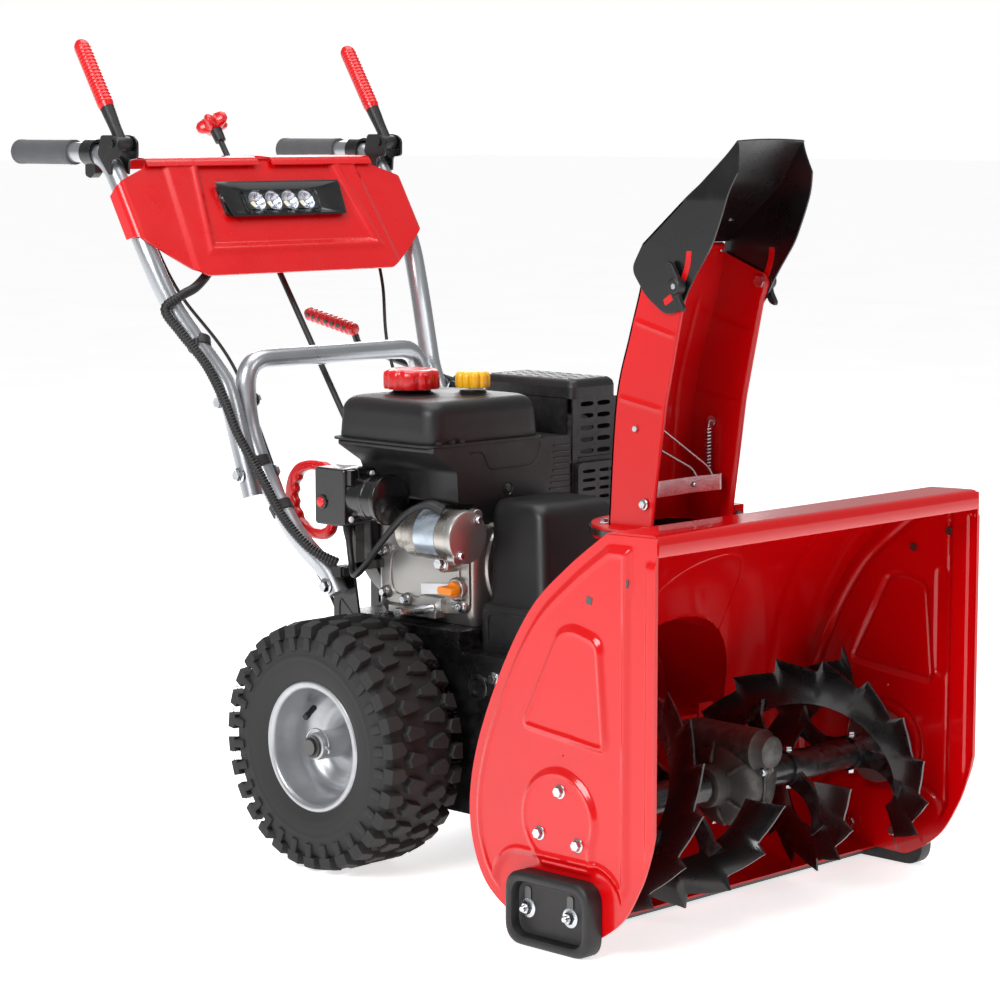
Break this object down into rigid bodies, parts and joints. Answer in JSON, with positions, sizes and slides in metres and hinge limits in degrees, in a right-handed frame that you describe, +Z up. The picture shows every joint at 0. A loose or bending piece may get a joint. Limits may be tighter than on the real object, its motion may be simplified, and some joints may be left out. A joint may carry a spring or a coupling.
{
  "type": "two stage snowblower",
  "caption": "Walk-behind two stage snowblower with auger housing, turning chute and deflector, petrol engine, lugged tyres, tube handles and dash panel.",
  "frame": {"origin": "on the ground under the middle of the wheel axle, which is the middle of the machine's footprint box", "axes": "+X across the machine to the operator's left, +Y back to the operator, -Y towards the snow, +Z up"},
  "size_m": [0.668, 1.272, 1.0919],
  "materials": {
    "red_paint": "gloss",
    "black_paint": "satin",
    "silver_paint": "satin",
    "rim_paint": "satin",
    "cast_aluminium": "cast",
    "zinc": "zinc plated",
    "steel": "machined",
    "dark_steel": "oiled",
    "black_plastic": "fine grain",
    "black_gloss": "gloss",
    "red_plastic": "gloss",
    "yellow_plastic": "gloss",
    "orange_plastic": "gloss",
    "grip_rubber": "matte",
    "black_rubber": "matte",
    "tyre_rubber": "matte",
    "lever_red": "satin"
  },
  "bodies": {
    "frame": {"chassis_frame": "black_paint", "chassis_cover": "black_paint", "housing_wrap": "red_paint", "side_plate_right": "red_paint", "side_plate_left": "red_paint", "impeller_drum": "red_paint", "scraper_bar": "dark_steel", "gearbox_case": "cast_aluminium", "shaft_bearings": "dark_steel", "housing_bolts": "zinc", "belt_cover": "black_plastic", "engine_block": "cast_aluminium", "fuel_tank": "black_plastic", "engine_shroud": "black_plastic", "muffler_guard": "black_plastic", "muffler": "dark_steel", "starter_motor": "cast_aluminium", "switch_box": "black_plastic", "recoil_cover": "black_plastic", "transmission": "cast_aluminium", "drive_belts": "black_rubber", "lower_handle": "silver_paint", "upper_handle_right": "silver_paint", "upper_handle_left": "silver_paint", "handle_bolts": "zinc", "handle_grips": "grip_rubber", "control_brackets": "black_plastic", "dash_panel": "red_plastic", "headlight": "black_gloss", "wiring_harness": "black_rubber", "control_cables": "black_rubber", "cleanout_tool": "red_plastic"},
    "axle": {"axle_shaft": "steel", "tyre_right": "tyre_rubber", "tyre_left": "tyre_rubber", "rim_right": "rim_paint", "rim_left": "rim_paint"},
    "auger": {"auger_shaft": "dark_steel", "auger_right": "black_paint", "auger_left": "black_paint"},
    "impeller_set": {"impeller": "red_paint", "impeller_shaft": "steel"},
    "engine_crank": {"engine_pulley": "steel"},
    "chute_set": {"chute_ring": "black_plastic", "chute": "red_paint", "chute_guard": "zinc", "deflector_knobs": "black_plastic"},
    "deflector_set": {"deflector": "black_paint"},
    "drive_lever_set": {"drive_lever": "lever_red"},
    "auger_lever_set": {"auger_lever": "lever_red"},
    "shift_lever_set": {"shift_lever": "black_paint"},
    "crank_rod": {"chute_crank": "black_paint"},
    "worm_set": {"crank_worm": "dark_steel"},
    "fuel_cap_set": {"fuel_cap": "red_plastic"},
    "oil_cap_set": {"oil_cap": "yellow_plastic"},
    "dipstick_set": {"dipstick": "orange_plastic"},
    "button_set": {"starter_button": "red_plastic"},
    "recoil_set": {"recoil_handle": "red_plastic"},
    "shoe_right": {"skid_shoe_right": "black_plastic"},
    "shoe_left": {"skid_shoe_left": "black_plastic"}
  },
  "joints": [
    {"name": "axle_spin", "type": "hinge", "parent": "frame", "child": "axle", "pos_m": [0, 0, 0.165], "axis": [1, 0, 0], "continuous": true},
    {"name": "auger_spin", "type": "hinge", "parent": "frame", "child": "auger", "pos_m": [0, -0.49, 0.155], "axis": [1, 0, 0], "continuous": true},
    {"name": "impeller_spin", "type": "hinge", "parent": "frame", "child": "impeller_set", "pos_m": [0, -0.3, 0.2], "axis": [0, 1, 0], "continuous": true},
    {"name": "engine_spin", "type": "hinge", "parent": "frame", "child": "engine_crank", "pos_m": [0, -0.194, 0.426], "axis": [0, 1, 0], "continuous": true},
    {"name": "chute_turn", "type": "hinge", "parent": "frame", "child": "chute_set", "pos_m": [0, -0.385, 0.46], "axis": [0, 0, 1], "range_deg": [-95, 95]},
    {"name": "deflector_tilt", "type": "hinge", "parent": "chute_set", "child": "deflector_set", "pos_m": [0, -0.409, 0.819], "axis": [1, 0, 0], "range_deg": [-26, 38]},
    {"name": "drive_lever_press", "type": "hinge", "parent": "frame", "child": "drive_lever_set", "pos_m": [0.249, 0.4, 0.944], "axis": [-1, 0, 0], "range_deg": [0, 38], "stiffness_Nm_per_rad": 0.8, "springref_deg": -34.38},
    {"name": "auger_lever_press", "type": "hinge", "parent": "frame", "child": "auger_lever_set", "pos_m": [-0.249, 0.4, 0.944], "axis": [-1, 0, 0], "range_deg": [0, 38], "stiffness_Nm_per_rad": 0.8, "springref_deg": -34.38},
    {"name": "shift_lever_move", "type": "hinge", "parent": "frame", "child": "shift_lever_set", "pos_m": [0.005, 0.15, 0.345], "axis": [-1, 0, 0], "range_deg": [-2, 4]},
    {"name": "crank_turn", "type": "hinge", "parent": "frame", "child": "crank_rod", "pos_m": [0.224, -0.171, 0.52], "axis": [0.0064, 0.9815, 0.1912], "range_deg": [-770, 770]},
    {"name": "worm_turn", "type": "hinge", "parent": "frame", "child": "worm_set", "pos_m": [0.1049, -0.4273, 0.464], "axis": [0.4134, 0.8896, 0.1944], "range_deg": [-770, 770]},
    {"name": "fuel_cap_turn", "type": "hinge", "parent": "frame", "child": "fuel_cap_set", "pos_m": [-0.075, 0.01, 0.63], "axis": [0, 0, 1], "range_deg": [0, 90]},
    {"name": "oil_cap_turn", "type": "hinge", "parent": "frame", "child": "oil_cap_set", "pos_m": [-0.022, -0.052, 0.632], "axis": [0, 0, 1], "range_deg": [0, 360]},
    {"name": "dipstick_turn", "type": "hinge", "parent": "frame", "child": "dipstick_set", "pos_m": [-0.103, -0.103, 0.366], "axis": [-1, 0, 0], "range_deg": [0, 360]},
    {"name": "starter_button_press", "type": "slide", "parent": "frame", "child": "button_set", "axis": [1, 0, 0], "range_m": [0, 0.003], "stiffness_N_per_m": 300, "springref_m": -0.003},
    {"name": "recoil_pull", "type": "slide", "parent": "frame", "child": "recoil_set", "axis": [0, 1, 0], "range_m": [0, 0.25], "stiffness_N_per_m": 20, "springref_m": -0.1},
    {"name": "skid_right_adjust", "type": "slide", "parent": "frame", "child": "shoe_right", "axis": [0, 0, 1], "range_m": [-0.02, 0]},
    {"name": "skid_left_adjust", "type": "slide", "parent": "frame", "child": "shoe_left", "axis": [0, 0, 1], "range_m": [-0.02, 0]}
  ],
  "couplings": [
    {"joint": "impeller_spin", "follows": "auger_spin", "ratio": 10},
    {"joint": "engine_spin", "follows": "auger_spin", "ratio": 27.45},
    {"joint": "crank_turn", "follows": "chute_turn", "ratio": 8},
    {"joint": "worm_turn", "follows": "chute_turn", "ratio": 8}
  ]
}
